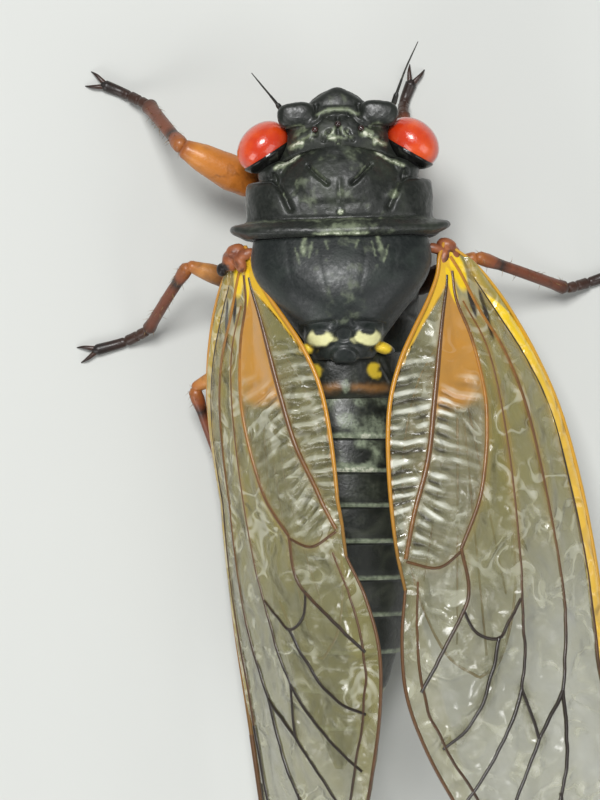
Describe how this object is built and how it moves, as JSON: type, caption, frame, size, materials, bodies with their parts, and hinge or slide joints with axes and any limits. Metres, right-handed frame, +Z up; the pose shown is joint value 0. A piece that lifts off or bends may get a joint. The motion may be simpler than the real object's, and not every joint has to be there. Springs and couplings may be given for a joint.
{
  "type": "periodical cicada model",
  "caption": "Life-size still model of a periodical cicada resting on its feet: red eyes, black body, orange legs and half-folded amber wings with raised veins.",
  "frame": {"origin": "bottom centre of the whole animal: middle of its bounding box in X and Y, on the plane its feet rest on", "axes": "+Z up, +Y towards the tail and wing tips, +X towards the animal's left; the head points to -Y"},
  "size_m": [0.0244, 0.0418, 0.0102],
  "materials": {
    "black_shell": "satin, finely downy",
    "red_eye": "glossy",
    "feeler": "satin",
    "beak": "satin",
    "abdomen_plates": "satin",
    "wing_root": "satin",
    "forewing_membrane": "clear, glossy",
    "hindwing_membrane": "clear, glossy",
    "thigh": "satin",
    "shin": "satin",
    "foot": "satin"
  },
  "bodies": {
    "root": {"head": "black_shell", "eye_left": "red_eye", "eye_right": "red_eye", "antenna_left": "feeler", "antenna_right": "feeler", "rostrum": "beak", "prothorax": "black_shell", "mesothorax": "black_shell", "metathorax": "black_shell", "abdomen": "abdomen_plates", "wing_root_left": "wing_root", "wing_root_right": "wing_root", "forewing_left": "forewing_membrane", "forewing_right": "forewing_membrane", "hindwing_left": "hindwing_membrane", "hindwing_right": "hindwing_membrane", "thigh_fore_left": "thigh", "shin_fore_left": "shin", "foot_fore_left": "foot", "thigh_fore_right": "thigh", "shin_fore_right": "shin", "foot_fore_right": "foot", "thigh_mid_left": "thigh", "shin_mid_left": "shin", "foot_mid_left": "foot", "thigh_mid_right": "thigh", "shin_mid_right": "shin", "foot_mid_right": "foot", "thigh_hind_left": "thigh", "shin_hind_left": "shin", "foot_hind_left": "foot", "thigh_hind_right": "thigh", "shin_hind_right": "shin", "foot_hind_right": "foot"}
  },
  "joints": []
}
